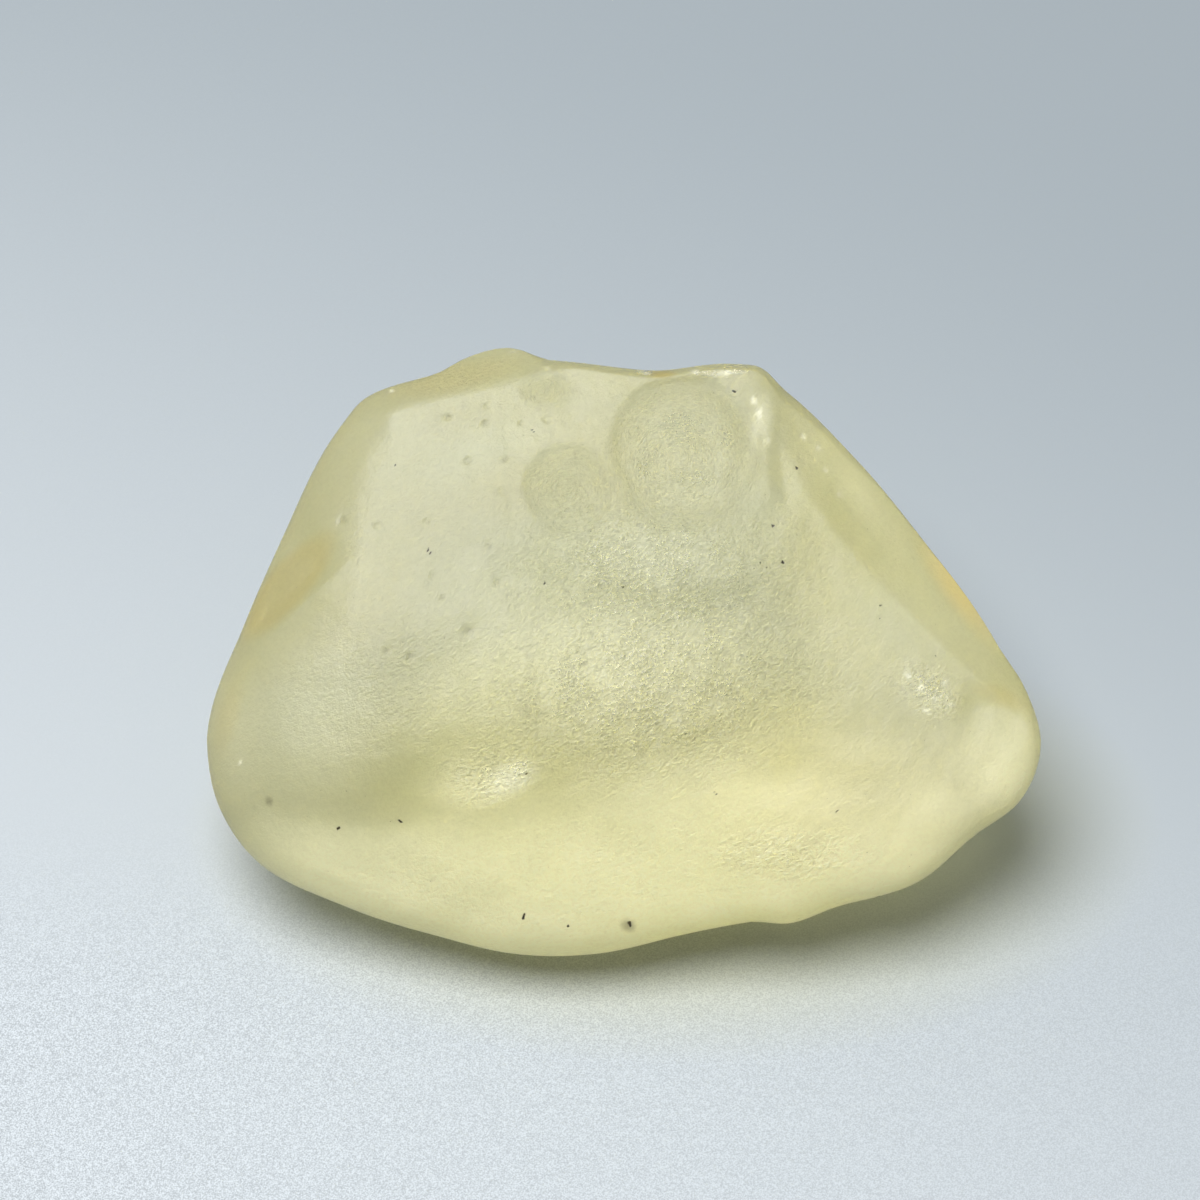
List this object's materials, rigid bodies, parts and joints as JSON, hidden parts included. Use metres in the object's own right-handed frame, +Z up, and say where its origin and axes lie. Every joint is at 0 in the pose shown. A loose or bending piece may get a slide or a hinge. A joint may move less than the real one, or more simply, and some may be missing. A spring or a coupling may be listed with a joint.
{
  "type": "tektite",
  "caption": "Rounded lump of pale yellow frosted natural impact glass with a broad sloping face, shallow round pits and bevelled sides, resting on a small flat spot.",
  "frame": {"origin": "on the surface the stone rests on, under the middle of its overall width and depth", "axes": "+X along the stone's longest side, +Y away from the broad face's low front edge, +Z up from the flat spot it rests on"},
  "size_m": [0.0446, 0.0268, 0.0232],
  "materials": {
    "impact_glass": "frosted"
  },
  "bodies": {
    "root": {"tektite": "impact_glass"}
  },
  "joints": []
}
